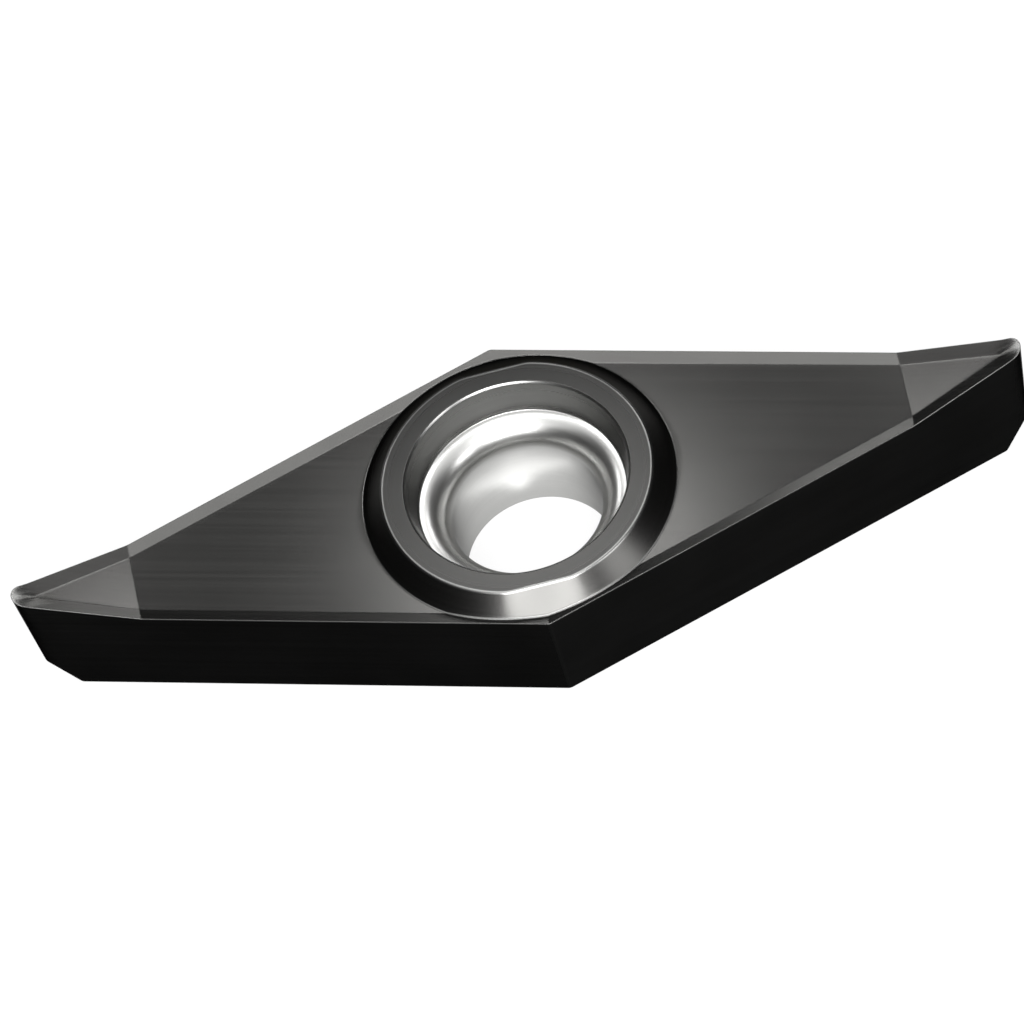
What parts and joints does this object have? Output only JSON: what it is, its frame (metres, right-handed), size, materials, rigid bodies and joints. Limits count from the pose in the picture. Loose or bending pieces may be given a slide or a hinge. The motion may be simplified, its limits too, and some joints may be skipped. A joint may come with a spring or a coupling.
{
  "type": "carbide turning insert",
  "caption": "Slim diamond-shaped carbide turning insert with raised cutting corners, relieved flanks and a countersunk screw hole in a low hub.",
  "frame": {"origin": "centre of the screw hole at the seat face", "axes": "+Z along the hole to the rake side, +X along the long diagonal"},
  "size_m": [0.0298, 0.0098, 0.0048],
  "materials": {
    "coated_carbide": "dark semi-gloss hard coating on ground carbide"
  },
  "bodies": {
    "root": {"carbide_insert": "coated_carbide"}
  },
  "joints": []
}
